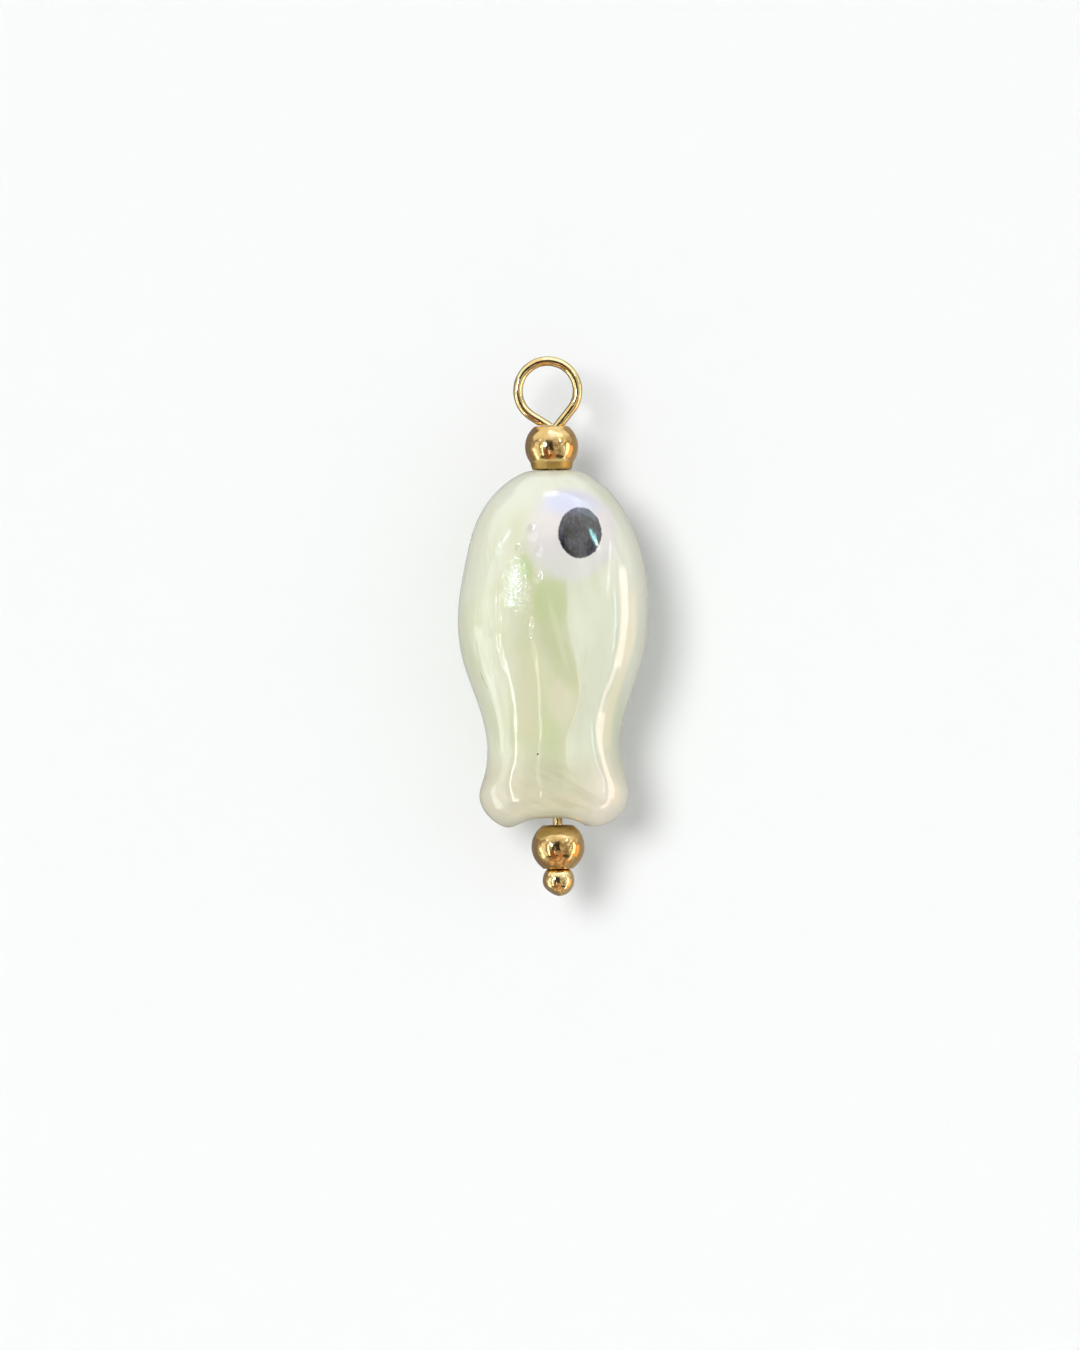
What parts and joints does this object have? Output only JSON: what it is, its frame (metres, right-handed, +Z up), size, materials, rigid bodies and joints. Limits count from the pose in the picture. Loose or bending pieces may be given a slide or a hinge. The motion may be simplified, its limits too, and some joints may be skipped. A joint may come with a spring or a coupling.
{
  "type": "fish bead charm",
  "caption": "Hanging charm: a pale green glazed ceramic fish bead with painted eyes, spun loosely on a gold wire pin between round gold spacer beads, with a turned loop at the top.",
  "frame": {"origin": "centre of the hanging loop at the top of the wire pin", "axes": "+Z up along the pin, -Y out of the front face of the fish, +X on the right of someone who looks at that face; the loop's opening runs along Y"},
  "size_m": [0.0107, 0.008, 0.0302],
  "materials": {
    "gold_wire": "pale gold plate, polished",
    "gold_bead": "warm gold plate, polished",
    "green_glaze": "glossy pearl lustre glaze",
    "white_glaze": "soft-edged white under the same glossy glaze",
    "black_glaze": "hand-painted black under the same glossy glaze"
  },
  "bodies": {
    "pin": {"pin_wire": "gold_wire", "pin_ball": "gold_wire"},
    "upper_bead": {"upper_spacer_bead": "gold_bead"},
    "fish": {"fish_bead": "green_glaze", "eye_white_front": "white_glaze", "eye_white_back": "white_glaze", "eye_pupil_front": "black_glaze", "eye_pupil_back": "black_glaze"},
    "lower_bead": {"lower_spacer_bead": "gold_bead"}
  },
  "joints": [
    {"name": "stack_slide", "type": "slide", "parent": "pin", "child": "upper_bead", "axis": [0, 0, 1], "range_m": [-0.00008, 0]},
    {"name": "fish_spin", "type": "hinge", "parent": "upper_bead", "child": "fish", "pos_m": [0.00016, 0, -0.0144], "axis": [0, 0, 1], "continuous": true},
    {"name": "lower_bead_spin", "type": "hinge", "parent": "pin", "child": "lower_bead", "pos_m": [0.00016, 0, -0.02555], "axis": [0, 0, 1], "continuous": true}
  ]
}
